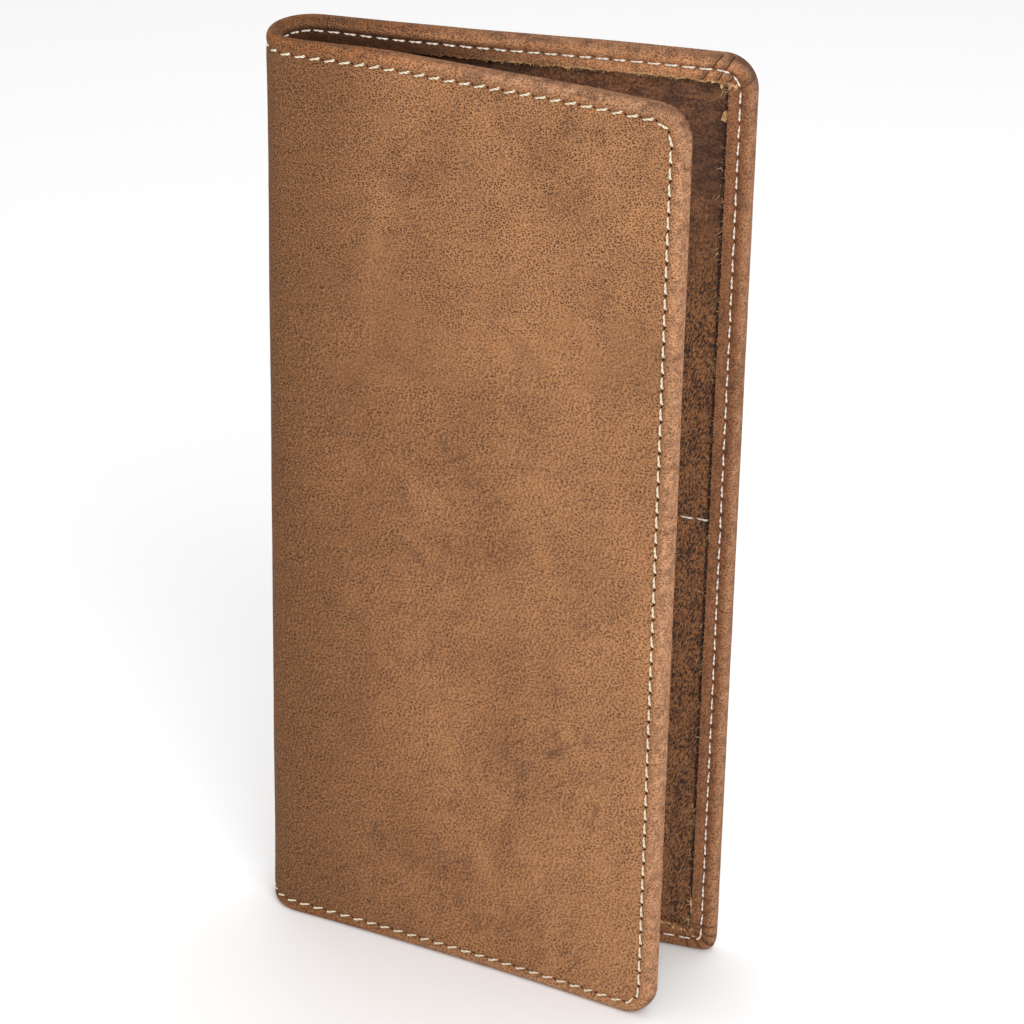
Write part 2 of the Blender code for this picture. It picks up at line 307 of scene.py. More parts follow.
def place(s, d, z, thins=True):
    """The point in space of a place on the flat leather. At the fold it lies lower and its edge is thin."""
    s, z = tightened(s, z)
    thin = FOLD_SHARE + (1 - FOLD_SHARE) * smooth((abs(s) - FOLD_START) / FOLD_REACH) if thins else 1.0
    climb = 1 + max(s - BEND_END, 0.0) / BACK_LENGTH * BACK_RISE / HEIGHT
    dip = (FOLD_DIP * smooth(1 - abs(s - FOLD_DIP_MIDDLE) / FOLD_DIP_END)
           + TOP_DIP * smooth(2 * (1 - abs(s) / TOP_DIP_END)))
    dip *= smooth((z / HEIGHT - DIP_START) * DIP_RATE)
    return FOLD_CENTRE + Vector((*wrap(s, d * thin), max(z, 0.0) * climb - dip))


def bump(value, spread):
    """1 at 0, falling off as a bell."""
    return math.exp(-(value / spread) ** 2)


class Outline:
    """One half's outline, and the stitch line inside it from the fold along the top, round and back."""

    def __init__(self, half):
        self.side, length, _ = SIDES[half]
        self.half = half
        self.far = BEND_END + length
        self.row = self.far - CORNER_RADIUS
        self.column = HEIGHT / 2 - CORNER_RADIUS
        self.bend = CORNER_RADIUS - SEAM_INSET
        self.arc = QUARTER_TURN * self.bend
        self.length = 2 * (self.row + self.arc + self.column)
        self.count = round(self.length / STITCH[half])
        self.pitch = self.length / self.count

    def spread(self, u, v):
        """Where the unrolled leather leaves the flat at (u, v), which way, how far, and where on the seam."""
        beyond = u - self.row
        up = 1 if v > HEIGHT / 2 else -1
        rise = abs(v - HEIGHT / 2) - self.column
        out = max(beyond, rise)
        if beyond > 0 and rise > 0:
            eighth = QUARTER_TURN / 2
            angle = eighth * rise / beyond if beyond >= rise else QUARTER_TURN - eighth * beyond / rise
            base = (self.row, HEIGHT / 2 + up * self.column)
            run = self.row + self.bend * (QUARTER_TURN - angle)
        elif rise > beyond:
            angle = QUARTER_TURN
            base = (u, HEIGHT / 2 + up * self.column if rise > 0 else v)
            run = u
        else:
            angle = 0.0
            base = (self.row if beyond > 0 else u, v)
            run = self.row + self.arc + self.column - abs(v - HEIGHT / 2)
        along = run if up > 0 else self.length - run
        return base, (math.cos(angle), up * math.sin(angle)), out, along, angle

    def point(self, along, across):
        """s and z of a point along the stitch line and across it, outwards."""
        run = min(along, self.length - along)
        if run <= self.row:
            s, z = run, HEIGHT - SEAM_INSET + across
        elif run <= self.row + self.arc:
            turn = (run - self.row) / self.bend
            reach = self.bend + across
            s = self.row + reach * math.sin(turn)
            z = HEIGHT - CORNER_RADIUS + reach * math.cos(turn)
        else:
            s, z = self.row + self.bend + across, HEIGHT - CORNER_RADIUS - (run - self.row - self.arc)
        return s, HEIGHT - z if along > self.length / 2 else z

    def rowness(self, along):
        """1 on the top and bottom rows, 0 on the column and between them round the corner."""
        return 1 - smooth((min(along, self.length - along) - self.row) / self.arc)


# Distances outwards over the unrolled leather: its flat, two quarters of the rim with a wall between, its hem
FLAT = CORNER_RADIUS - RIM_ROUND
QUARTER = RIM_ROUND * QUARTER_TURN
RIM_WALL = EDGE_THICKNESS - 2 * RIM_ROUND
RIM_TOP = FLAT + QUARTER + RIM_WALL / 2
HEM_START = FLAT + 2 * QUARTER + RIM_WALL
ROLL = HEM_START + HEM_WIDTH - RIM_ROUND
SEAM_LINE = CORNER_RADIUS - SEAM_INSET
HEM_LINE = HEM_START + SEAM_INSET - RIM_ROUND


def turned_edge(out):
    """Reach, depth and outward direction of leather that, unrolled, is this far from the corner's centre."""
    if out <= FLAT:
        return out, 0.0, (0.0, -1.0)
    if out <= FLAT + QUARTER:
        turn = (out - FLAT) / RIM_ROUND
        return (FLAT + RIM_ROUND * math.sin(turn), RIM_ROUND * (1 - math.cos(turn)),
                (math.sin(turn), -math.cos(turn)))
    if out <= FLAT + QUARTER + RIM_WALL:
        return FLAT + RIM_ROUND, RIM_ROUND + out - FLAT - QUARTER, (1.0, 0.0)
    if out <= HEM_START:
        turn = (out - FLAT - QUARTER - RIM_WALL) / RIM_ROUND
        return (FLAT + RIM_ROUND * math.cos(turn), RIM_ROUND + RIM_WALL + RIM_ROUND * math.sin(turn),
                (math.cos(turn), math.sin(turn)))
    return FLAT - (out - HEM_START), EDGE_THICKNESS, (0.0, 1.0)


def pull(along, across, pitch):
    """The thread's pull on the leather beside its line: a dip at each hole and a swell on both sides."""
    beside = abs(across) / PUFF_SPREAD
    to_hole = (along / pitch - round(along / pitch)) * pitch
    return (PUFF * beside * math.exp(1 - beside) - SEAM_SINK * bump(across, SEAM_SPREAD)
            - HOLE_SINK * bump(math.hypot(to_hole, across), HOLE_SPREAD))


def fold(turn):
    """A lapped pleat's section across it: a steep foot and a long fall."""
    across = turn * CORNER_RADIUS
    return smooth(1 + across / PLEAT_FOOT) * math.exp(-max(across, 0.0) / PLEAT_FALL)


def lap(along_hem, above_hem):
    """How much a straight lapped fold lifts the hem at a place, in metres from the hem's inner top corner."""
    lift = 0.0
    spot = Vector((along_hem, above_hem)) * 1000
    for start, end, size in LAPS:
        start, end = Vector(start), Vector(end)
        way = (end - start).normalized()
        on_line = (spot - start).dot(way)
        beside = way.x * (spot - start).y - way.y * (spot - start).x
        reach = smooth(on_line / LAP_FADE + 1) * smooth(((end - start).length - on_line) / LAP_FADE + 1)
        lift += size * reach * smooth(1 + beside / LAP_FOOT) * math.exp(-max(beside, 0.0) / LAP_FALL)
    return lift * LAP_RISE


def squared(way, share):
    """How much further out a point lies when the round corner becomes a square one by this share."""
    return 1 + share * (1 / max(abs(way[0]), abs(way[1])) - 1)


def relief(outline, u, v, out, along, angle):
    """How far the leather's surface stands out from its plain form."""
    spot = Vector((outline.side * u, v, 0.0))
    height = SWELL * noise.noise(spot * SWELL_SCALE) + RIPPLE * noise.noise(spot * RIPPLE_SCALE)
    rim = smooth((out - FLAT) / QUARTER) * smooth((HEM_START - out) / QUARTER)
    height = height * (1 - rim) - rim * RIPPLE * (1 + noise.noise(spot * RIPPLE_SCALE))
    height += pull(along, out - (SEAM_LINE if out < RIM_TOP else HEM_LINE), outline.pitch) * (1 - rim)
    on_hem = smooth((out - HEM_START + QUARTER / 2) / QUARTER)
    pressed = bump(out - HEM_LINE, LAP_PRESS)
    if outline.half == "back" and v > HEIGHT / 2:
        base, way, *_ = outline.spread(u, v)
        reach = turned_edge(max(out, 0.0))[0]
        across, up = base[0] + way[0] * reach, base[1] + way[1] * reach
        lift = lap(across - outline.far + HEM_WIDTH, up - HEIGHT + HEM_WIDTH)
        height += on_hem * (1 - LAP_PRESSED * pressed) * lift
    elif 0 < angle < QUARTER_TURN:
        lifts = sum(size * fold(angle - share * QUARTER_TURN) for share, size in PLEATS)
        inner = smooth((ROLL - out) / (ROLL - HEM_LINE))
        lifts *= (1 - PLEAT_PRESSED * pressed) * (PLEAT_END + (1 - PLEAT_END) * inner)
        height += on_hem * PLEAT_RISE * lifts
    return height


def spaced(places, steps):
    """Stations from place to place, at most a step apart."""
    stations = [places[0]]
    for start, end, step in zip(places, places[1:], steps):
        count = math.ceil((end - start) / step - 1e-6)
        stations += [start + (end - start) * index / count for index in range(1, count + 1)]
    return stations


def flat_grid(stations, levels):
    """A flat sheet with its lines at the given stations and levels."""
    bm = bmesh.new()
    across, up = len(stations) - 1, len(levels) - 1
    bmesh.ops.create_grid(bm, x_segments=across, y_segments=up, size=0.5)
    for vert in bm.verts:
        vert.co = (stations[round((vert.co.x + 0.5) * across)], levels[round((vert.co.y + 0.5) * up)], 0.0)
    return bm


def set_uvs(bm, maps):
    """UV maps by name, each with one value for each vertex."""
    for name, values in maps.items():
        layer = bm.loops.layers.uv.new(name)
        for face in bm.faces:
            for loop in face.loops:
                loop[layer].uv = values[loop.vert]


def face_outwards(bm, side, inwards=False):
    """Turn the sheet's faces to the outer side, or to the inner side of the wallet."""
    bm.normal_update()
    wanted = side * (-1 if inwards else 1)
    if sum(face.normal.y * face.calc_area() for face in bm.faces) * wanted < 0:
        bmesh.ops.reverse_faces(bm, faces=bm.faces)


def as_mesh(bm, name):
    """The shape as a mesh."""
    mesh = bpy.data.meshes.new(name)
    bm.to_mesh(mesh)
    bm.free()
    return mesh


def added(name, data):
    """A new object in the scene."""
    made = bpy.data.objects.new(name, data)
    bpy.context.scene.collection.objects.link(made)
    return made


def thickened(bm, thickness):
    """The sheet with its thickness added behind its faces, as one closed skin."""
    mesh = as_mesh(bm, "sheet")
    holder = added("sheet", mesh)
    wall = holder.modifiers.new("wall", "SOLIDIFY")
    wall.thickness = thickness
    wall.offset = -1.0
    solid = bpy.data.meshes.new_from_object(holder.evaluated_get(bpy.context.evaluated_depsgraph_get()))
    bpy.data.objects.remove(holder)
    made = bmesh.new()
    made.from_mesh(solid)
    bpy.data.meshes.remove(solid)
    bpy.data.meshes.remove(mesh)
    return made


def finished(bm, name, finish, replaced=()):
    """The piece's object, with its finish and the model's nodes that it stands for."""
    mesh = as_mesh(bm, name)
    mesh.shade_smooth()
    mesh.set_sharp_from_angle(angle=SHARP)
    mesh.materials.append(finish)
    made = added(name, mesh)
    if replaced:
        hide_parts(*replaced)
    return made


def bend_with_fold(made, half):
    """The piece's transform baked into its mesh, the same for either half; nothing here makes it follow the
    fold.
    """
    if half == "back":
        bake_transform(made)
    else:
        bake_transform(made)


def cover_leather(half, finish):
    """One half of the hide: the outer face, the turned edge and the hem inside, on three sides."""
    outline = Outline(half)
    stations = spaced([0.0, APEX_STEP, BEND_END, outline.row, outline.row + ROLL],
                      [APEX_STEP, BEND_STEP, FIELD_STEP, FIELD_STEP])
    top = HEIGHT - CORNER_RADIUS
    levels = spaced([CORNER_RADIUS - ROLL, CORNER_RADIUS, top, top + ROLL], [FIELD_STEP] * 3)
    bm = flat_grid(stations, levels)
    band = {vert for vert in bm.verts if outline.spread(vert.co.x, vert.co.y)[2] > EDGE_BAND}
    long_edges = [edge for edge in bm.edges
                  if edge.verts[0] in band and edge.verts[1] in band and edge.calc_length() > 2 * BEND_STEP]
    bmesh.ops.subdivide_edges(bm, edges=long_edges, cuts=EDGE_CUTS, use_grid_fill=True)
    maps = {"grain": {}, "seam": {}, "turn": {}, "hem": {}}
    for vert in bm.verts:
        u, v = vert.co.x, vert.co.y
        base, way, out, along, angle = outline.spread(u, v)
        reach, depth, facing = turned_edge(max(out, 0.0))
        lift = relief(outline, u, v, out, along, angle)
        to_cut = smooth((out - HEM_LINE) / (ROLL - HEM_LINE))
        coarse, fine = (noise.noise(Vector((u, v, level)) * scale) for level, scale in RAGGED_NOISE)
        ragged = RAGGED * to_cut * (0.3 + 0.7 * angle / QUARTER_TURN)
        reach += facing[0] * lift + (coarse + 0.8 * fine) * ragged
        if v < HEIGHT / 2:
            reach -= HEM_SPARE * to_cut * smooth(angle / QUARTER_TURN)
        reach *= squared(way, to_cut)
        across, up = base[0] + way[0] * reach, base[1] + way[1] * reach
        vert.co = place(outline.side * across, depth + facing[1] * lift, up)
        maps["grain"][vert] = (outline.side * u, v)
        maps["seam"][vert] = (along / outline.pitch, (out - SEAM_LINE) * 1000)
        maps["turn"][vert] = (angle / QUARTER_TURN, v / HEIGHT)
        maps["hem"][vert] = ((across - outline.far + HEM_WIDTH) * 1000, (up - HEIGHT + HEM_WIDTH) * 1000)
    set_uvs(bm, maps)
    face_outwards(bm, outline.side)
    replaced = [f"{half}_cover", "spine_cover"]
    bend_with_fold(finished(thickened(bm, SKIN), f"{half}_leather", finish, replaced), half)


def rod(segments, tip, cuts):
    """A rod along X, from 0 to 1, with a radius of 1 at its start and tip at its end, ringed by cuts."""
    bm = bmesh.new()
    bmesh.ops.create_cone(bm, cap_ends=True, segments=segments, radius1=1.0, radius2=tip, depth=1.0,
                          matrix=Matrix.Translation((0.5, 0, 0)) @ Matrix.Rotation(QUARTER_TURN, 4, "Y"))
    sides = [edge for edge in bm.edges if abs(edge.verts[0].co.x - edge.verts[1].co.x) > 0.5]
    bmesh.ops.subdivide_edges(bm, edges=sides, cuts=cuts)
    return bm


def stamped(bm, shape):
    """The vertices of one more copy of a shape."""
    known = len(bm.verts)
    bm.from_mesh(shape)
    bm.verts.ensure_lookup_table()
    return bm.verts[known:]


def stitch_shape(radius, start):
    """A stitch of twisted two-ply thread along X, from 0 to 1, that starts at this share of its radius."""
    bm = rod(6, 1.0, STITCH_RINGS)
    values = {}
    for vert in bm.verts:
        x, y, z = vert.co
        around = math.atan2(z, y)
        ply = PLY_WAIST + (1 - PLY_WAIST) * abs(math.cos(around))
        swelling = start + (1 - start) * min(1.0, STITCH_SWELLING * x + STITCH_START)
        taper = radius * min(swelling, STITCH_TIP + STITCH_TAPER * (1 - x))
        turn = around + STITCH_TWIST * x
        vert.co = (x, taper * ply * math.cos(turn), taper * ply * math.sin(turn))
        values[vert] = (x, around / math.tau)
    set_uvs(bm, {"thread": values})
    return as_mesh(bm, "stitch")


def stitch_row(kind, pitch, count, slant_at, bend_point, name, finish, replaced):
    """Separate stitches along a line, each from needle hole to needle hole, a little askew."""
    radius, start, stand, stray = THREADS[kind]
    shape = stitch_shape(radius, start)
    bm = bmesh.new()
    chance = random.Random(name)
    for index in range(count):
        askew = slant_at((index + 0.5) * pitch) * chance.uniform(*SLANT_VARIES)
        askew += stray * chance.uniform(-1, 1)
        near = index * pitch + STITCH_GAP * chance.uniform(*GAP_VARIES)
        far = (index + 1) * pitch - STITCH_GAP * chance.uniform(*GAP_VARIES)
        for vert in stamped(bm, shape):
            x, y, z = vert.co
            dive = (stand + radius * STITCH_DIVE) * abs(2 * x - 1) ** STITCH_POWER
            arch = stand + STITCH_LIFT * (x - STITCH_LEVEL) - dive
            across = askew * (2 * x - 1) + y
            vert.co = bend_point(near + (far - near) * x, across, arch + z)
    bpy.data.meshes.remove(shape)
    bmesh.ops.recalc_face_normals(bm, faces=bm.faces)
    return finished(bm, name, finish, replaced)


def seam_stitches(half, kind, finish):
    """The seam's stitches outside, or the same seam's stitches on the hem inside."""
    outline = Outline(half)
    outside = kind == "seam"

    def on_seam(along, across, height):
        s, z = outline.point(along, across)
        return place(outline.side * s, -height if outside else EDGE_THICKNESS + height, z)

    def slant(along):
        return COLUMN_SLANT + (ROW_SLANT - COLUMN_SLANT) * outline.rowness(along) if outside else 0.0

    replaced = [f"{half}_{kind}_thread", f"spine_top_{kind}_thread", f"spine_bottom_{kind}_thread"]
    made = stitch_row(kind, outline.pitch, outline.count, slant, on_seam, f"{half}_{kind}_stitches", finish,
                      replaced)
    bend_with_fold(made, half)


def drawn(chance, *parts):
    """A vector: each part is a number, or a range to draw one from."""
    return Vector([chance.uniform(*part) if isinstance(part, tuple) else part for part in parts])


def fibres(half, name, hairs, finish):
    """Loose hairs of leather or thread: each has a root, a way to go, a length, a curl and a thickness."""
    shape = as_mesh(rod(3, 0.25, FIBRE_CUTS), "fibre")
    bm = bmesh.new()
    for root, way, length, curl, thickness in hairs:
        forward = way.normalized()
        beside = forward.cross(curl).normalized()
        above = beside.cross(forward)
        for vert in stamped(bm, shape):
            x, y, z = vert.co
            bow = curl.length * x * x
            vert.co = (root + forward * (length * (x - bow * x / 3)) + above * (length * bow)
                       + (beside * y + above * z) * thickness)
    bpy.data.meshes.remove(shape)
    bmesh.ops.recalc_face_normals(bm, faces=bm.faces)
    bend_with_fold(finished(bm, name, finish), half)


def cut_edge_point(outline, along, depth, outwards=0.0):
    """A point on the cut edge of the hem inside, or a little outwards from it."""
    s, z = outline.point(along, SEAM_INSET - HEM_WIDTH + outwards)
    run = min(along, outline.length - along)
    if outline.row < run < outline.row + outline.arc:
        turn = (run - outline.row) / outline.bend
        grow = squared((math.sin(turn), math.cos(turn)), 1.0)
        middle = HEIGHT - CORNER_RADIUS if along < outline.length / 2 else CORNER_RADIUS
        s, z = outline.row + (s - outline.row) * grow, middle + (z - middle) * grow
    return place(outline.side * s, depth, z)


def hem_fibres(half, finish):
    """The frayed cut edge of the hem: fuzz on the rows, tufts at the inner corners, strays on the column."""
    outline = Outline(half)
    chance = random.Random(f"{half} fray")
    centre = outline.side * outline.row / 2
    upwards = (place(centre, EDGE_THICKNESS, MID_HEIGHT) - place(centre, 0.0, MID_HEIGHT)).normalized()
    hairs = []
    along = BEND_END
    while along < outline.length - BEND_END:
        rows = outline.rowness(along)
        corner = 4 * rows * (1 - rows)
        patch = smooth(0.5 + 2.2 * noise.noise(Vector((along * FRAY_PATCHES, outline.side, 3.0))))
        near_end = smooth((along - outline.row * 0.55) / (outline.row * 0.3)) * (along < outline.length / 2)
        thick = FRAY_LEAST + (1 - FRAY_LEAST) * max(rows * (0.2 + 0.4 * patch + 0.4 * near_end), corner)
        run = min(along, outline.length - along)
        thick *= FRAY_AT_FOLD + (1 - FRAY_AT_FOLD) * smooth((run - FRAY_START) / FRAY_START)
        along += chance.uniform(*FRAY_GAP) / thick
        middle = min(max(along, 0.0), outline.length)
        below = chance.uniform(-0.1, 1.0)
        depth = EDGE_THICKNESS - below * HEM_LEATHER * 0.6
        root = cut_edge_point(outline, middle, depth, max(-below, 0.0) * FRAY_SPREAD)
        beyond = cut_edge_point(outline, min(middle + NEARBY, outline.length), EDGE_THICKNESS)
        before = cut_edge_point(outline, max(middle - NEARBY, 0.0), EDGE_THICKNESS)
        along_way = (beyond - before).normalized()
        inwards = along_way.cross(upwards)
        if inwards.dot(place(centre, EDGE_THICKNESS, HEIGHT / 2) - root) < 0:
            inwards = -inwards
        way = inwards * chance.uniform(0.2, 1.0) + along_way * chance.uniform(-1, 1)
        way += upwards * chance.uniform(-0.1, 0.6)
        length = chance.uniform(*FRAY_LENGTH) * (1 + 1.5 * corner * chance.random())
        curl = drawn(chance, (-1, 1), (-1, 1), (-1, 1)) * FRAY_CURL
        hairs.append((root, way, length, curl, chance.uniform(*FRAY_THICKNESS)))
    fibres(half, f"{half}_hem_fray", hairs, finish)


def strip_fibres(finish):
    """Pale stray hairs on the dark strip beside the back half's column, and curled strands in its corners."""
    chance = random.Random("strays")
    hairs = []
    inner = Outline("back").far - HEM_WIDTH
    for _ in range(STRAYS):
        z = chance.uniform(HEM_WIDTH, HEIGHT - HEM_WIDTH)
        if noise.noise(Vector((z * STRAY_PATCHES, 5.0, 0.0))) < chance.uniform(-0.1, 0.4):
            continue
        root = place(inner - chance.uniform(0.0, STRAY_REACH), HEM_DEPTH + STRAY_SINK, z)
        way = drawn(chance, (-0.6, 0.6), -0.2, (-1, 1))
        curl = drawn(chance, (-1, 1), -0.4, (-1, 1)) * STRAY_CURL
        hairs.append((root, way, chance.uniform(*STRAY_LENGTH), curl, STRAY_THICKNESS))
    for up, count in CORNER_TUFTS:
        middle = HEIGHT / 2 + up * (HEIGHT / 2 - HEM_WIDTH)
        for _ in range(count):
            root = place(inner - chance.uniform(-0.0003, 0.0012),
                         EDGE_THICKNESS - chance.uniform(0.0002, 0.0010),
                         middle - up * chance.uniform(-0.0006, 0.0022))
            way = drawn(chance, (-0.9, 0.5), -0.15, (-0.5, 1.0))
            way.z *= -up
            curl = drawn(chance, (-1, 1), -0.1, (-1, 1)) * TUFT_CURL
            hairs.append((root, way, chance.uniform(*TUFT_LENGTH), curl, TUFT_THICKNESS))
    for across, up, way, length, curl, thickness in STRANDS:
        root = place(inner + across / 1000, EDGE_THICKNESS - STRAND_SINK, HEM_WIDTH + up / 1000)
        way, curl = Vector((way[0], -0.04, way[1])), Vector((curl, -0.1, 0.2))
        hairs.append((root, way, length / 1000, curl, thickness / 1000))
    fibres("back", "back_corner_strands", hairs, finish)


def torn_flakes(finish):
    """Scraps of split leather at the back half's inner corners."""
    inner = Outline("back").far - HEM_WIDTH
    chance = random.Random("flakes")
    bm = bmesh.new()
    for corner, across, up, length, width, turn, height in FLAKES:
        made = bmesh.ops.create_grid(bm, x_segments=9, y_segments=5, size=0.5)["verts"]
        seed = chance.uniform(0, 50)
        level = HEIGHT - HEM_WIDTH if corner == "top" else HEM_WIDTH
        for vert in made:
            x, y, _ = vert.co
            ragged = 1 + FLAKE_RAGGED * noise.noise(Vector((x * 6, y * 6, seed)))
            scrap = Vector((x * length, y * width * (1 - 0.9 * x * x)))
            flat = Matrix.Rotation(math.radians(turn), 2) @ scrap * ragged
            buckle = FLAKE_BUCKLE * noise.noise(Vector((x * 4, y * 4, seed + 9)))
            curl = height + FLAKE_CURL * (2 * x) ** 2 + buckle
            vert.co = place(inner + (across + flat.x) * 0.001, EDGE_THICKNESS + curl * 0.001,
                            level + (up + flat.y) * 0.001)
    face_outwards(bm, 1, inwards=True)
    made = finished(thickened(bm, FLAKE_LEATHER), "back_torn_flakes", finish)
    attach(made, "back")


def edge_nap(half, finish):
    """Dark fuzz on the crown of the turned edge, along the top."""
    outline = Outline(half)
    chance = random.Random(f"{half} nap")
    hairs = []
    run = NAP_START
    while run < outline.row:
        run += chance.uniform(*NAP_GAP)
        depth = chance.uniform(0.0, 1.0)
        crown = HEIGHT - NAP_SINK - RIM_ROUND * (2 * depth - 1) ** 4
        root = place(outline.side * run, EDGE_THICKNESS * (NAP_MARGIN + (1 - 2 * NAP_MARGIN) * depth), crown)
        way = drawn(chance, (-1, 1), (-1, 1), (0.1, 0.6))
        curl = drawn(chance, (-1, 1), (-1, 1), -0.5) * NAP_CURL
        hairs.append((root, way, chance.uniform(*NAP_LENGTH), curl, NAP_THICKNESS))
    fibres(half, f"{half}_edge_nap", hairs, finish)


def panel(half, name, near, outer, thickness, bulge, finish, replaced, sunk=False):
    """A sheet that is held under the turned edge on three sides, with its mouth towards the fold."""
    outline = Outline(half)
    edge = CORNER_RADIUS - PANEL_INSET
    cut = outline.far - HEM_WIDTH
    strip = cut - STRIP - STRIP_GAP
    stations = spaced([near, max(near + MOUTH_BAND, BEND_END), strip, cut, outline.row + edge], PANEL_STEPS)
    levels = spaced([PANEL_INSET, CORNER_RADIUS, HEIGHT - CORNER_RADIUS, HEIGHT - PANEL_INSET], PANEL_LEVELS)
    bm = flat_grid(stations, levels)
    maps = {"grain": {}, "margin": {}}
    for vert in bm.verts:
        u, v = vert.co.x, vert.co.y
        base, way, out, *_ = outline.spread(u, v)
        reach = max(out, 0.0)
        free = smooth(-out / PANEL_EASE)
        wave = PANEL_WAVE * noise.noise(Vector((u, v, outer * 900)) * PANEL_WAVE_SCALE)
        height = free * (bulge * smooth((u - near) / BULGE_REACH) + wave)
        if near > 0:
            height -= MOUTH_LINE_SINK * bump(u - near - MOUTH_LINE, MOUTH_LINE_SPREAD) * smooth(-out / 0.002)
        else:
            height += free * FOLD_SLACK * smooth((BEND_END + WALL_MOUTH - u) / WALL_MOUTH)
        if sunk:
            height -= STRIP_SINK * smooth((u - cut + STRIP_GAP) / STRIP_GAP)
        vert.co = place(outline.side * (base[0] + way[0] * reach), outer + thickness + height,
                        base[1] + way[1] * reach, thins=False)
        maps["grain"][vert] = (outline.side * u, v)
        maps["margin"][vert] = ((cut - u) * 1000, v / HEIGHT)
    set_uvs(bm, maps)
    face_outwards(bm, outline.side, inwards=True)
    made = finished(thickened(bm, thickness), name, finish, replaced)
    if near > 0:
        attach(made, half)
    else:
        bend_with_fold(made, half)


def rgb(red, green, blue):
    """A colour as a picture shows it, in the renderer's linear values."""
    def linear(value):
        value /= 255
        return value / 12.92 if value <= 0.04045 else ((value + 0.055) / 1.055) ** 2.4
    return linear(red), linear(green), linear(blue), 1.0


class Nodes:
    """The nodes of one material or group. What goes into a node is a plain value or another node's socket."""

    def __init__(self, tree):
        self.tree = tree

    def fill(self, node, sockets):
        """Give a node's sockets their values and links."""
        for name, value in sockets.items():
            if isinstance(value, bpy.types.NodeSocket):
                self.tree.links.new(value, node.inputs[name])
            else:
                node.inputs[name].default_value = value
        return node.outputs

    def put(self, kind, sockets, **settings):
        """The outputs of a new node."""
        node = self.tree.nodes.new(f"ShaderNode{kind}")
        for name, value in settings.items():
            setattr(node, name, value)
        return self.fill(node, sockets)

    def use(self, node_group, sockets):
        """The outputs of a node group with its own values."""
        return self.put("Group", sockets, node_tree=node_group)

    def work(self, operation, *values):
        """The values worked together from the first to the last."""
        result = values[0]
        for value in values[1:] or (0.0,):
            result = self.put("Math", {0: result, 1: value}, operation=operation)[0]
        return result

    times = partialmethod(work, "MULTIPLY")
    plus = partialmethod(work, "ADD")
    minus = partialmethod(work, "SUBTRACT")
    most = partialmethod(work, "MAXIMUM")
    size = partialmethod(work, "ABSOLUTE")

    def between(self, value, low, high):
        """0 at low, 1 at high and a smooth rise between."""
        return self.put("MapRange", {"Value": value, "From Min": low, "From Max": high},
                        interpolation_type="SMOOTHSTEP")["Result"]

    def where(self, *rises):
        """A mask: the product of smooth rises, each given as a value, its low end and its high end."""
        return self.times(*(self.between(*rise) for rise in rises))

    def band(self, value, start, full, still_full, end):
        """1 from full to still_full, 0 outside start and end, and smooth between."""
        return self.where((value, start, full), (value, end, still_full))

    def remap(self, value, start, end, low=0.0, high=1.0):
        """start where the value is low, end where it is high and an even change between."""
        sockets = {"Value": value, "From Min": low, "From Max": high, "To Min": start, "To Max": end}
        return self.put("MapRange", sockets)["Result"]

    def mix(self, share, first, second):
        """Two colours mixed by a share."""
        return self.put("Mix", {0: share, 6: first, 7: second}, data_type="RGBA")[2]

    def layered(self, colour, layers):
        """A colour with others laid over it in turn, each with its mask and its strength."""
        for mask, strength, tone in layers:
            colour = self.mix(self.times(mask, strength), colour, tone)
        return colour

    def noise(self, vector, scale, detail=2.0, roughness=0.5, distortion=0.0):
        """A noise texture's value."""
        sockets = {"Vector": vector, "Scale": scale, "Detail": detail, "Roughness": roughness}
        return self.put("TexNoise", {**sockets, "Distortion": distortion})["Fac"]

    def turned(self, vector, angle):
        """The coordinates turned in the sheet's plane."""
        return self.put("VectorRotate", {"Vector": vector, "Angle": angle}, rotation_type="Z_AXIS")[0]

    def stretched(self, vector, scale, angle=0.0):
        """The coordinates turned in the sheet's plane and scaled along each axis."""
        turned = self.turned(vector, angle)
        return self.put("VectorMath", {0: turned, 1: (*scale, 1.0)}, operation="MULTIPLY")[0]

    def split(self, vector):
        """A vector's parts X, Y and Z."""
        return self.put("SeparateXYZ", {"Vector": vector})

    def uv(self, name):
        """The piece's UV map of this name."""
        return self.put("UVMap", {}, uv_map=name)["UV"]

    def dress(self, shader, colour, height, distance, strength):
        """Feed a shader its colour and its bump."""
        bump_node = self.put("Bump", {"Height": height, "Distance": distance, "Strength": strength})
        self.fill(shader, {"Base Color": colour, "Normal": bump_node["Normal"]})


def group(name, inputs, outputs):
    """A node group: its nodes, the values it is given and the node that its results go into."""
    tree = bpy.data.node_groups.new(name, "ShaderNodeTree")
    for socket, value in inputs.items():
        kind = "NodeSocketVector" if isinstance(value, tuple) else "NodeSocketFloat"
        tree.interface.new_socket(socket, in_out="INPUT", socket_type=kind).default_value = value
    for socket in outputs:
        tree.interface.new_socket(socket, in_out="OUTPUT", socket_type="NodeSocketFloat")
    return Nodes(tree), tree.nodes.new("NodeGroupInput").outputs, tree.nodes.new("NodeGroupOutput")


def material(name, roughness, **constants):
    """A new material, its nodes and its shader."""
    made = bpy.data.materials.new(name)
    made.use_nodes = True
    shader = made.node_tree.nodes["Principled BSDF"]
    shader.inputs["Roughness"].default_value = roughness
    for socket, value in constants.items():
        shader.inputs[socket.replace("_", " ")].default_value = value
    return made, Nodes(made.node_tree), shader


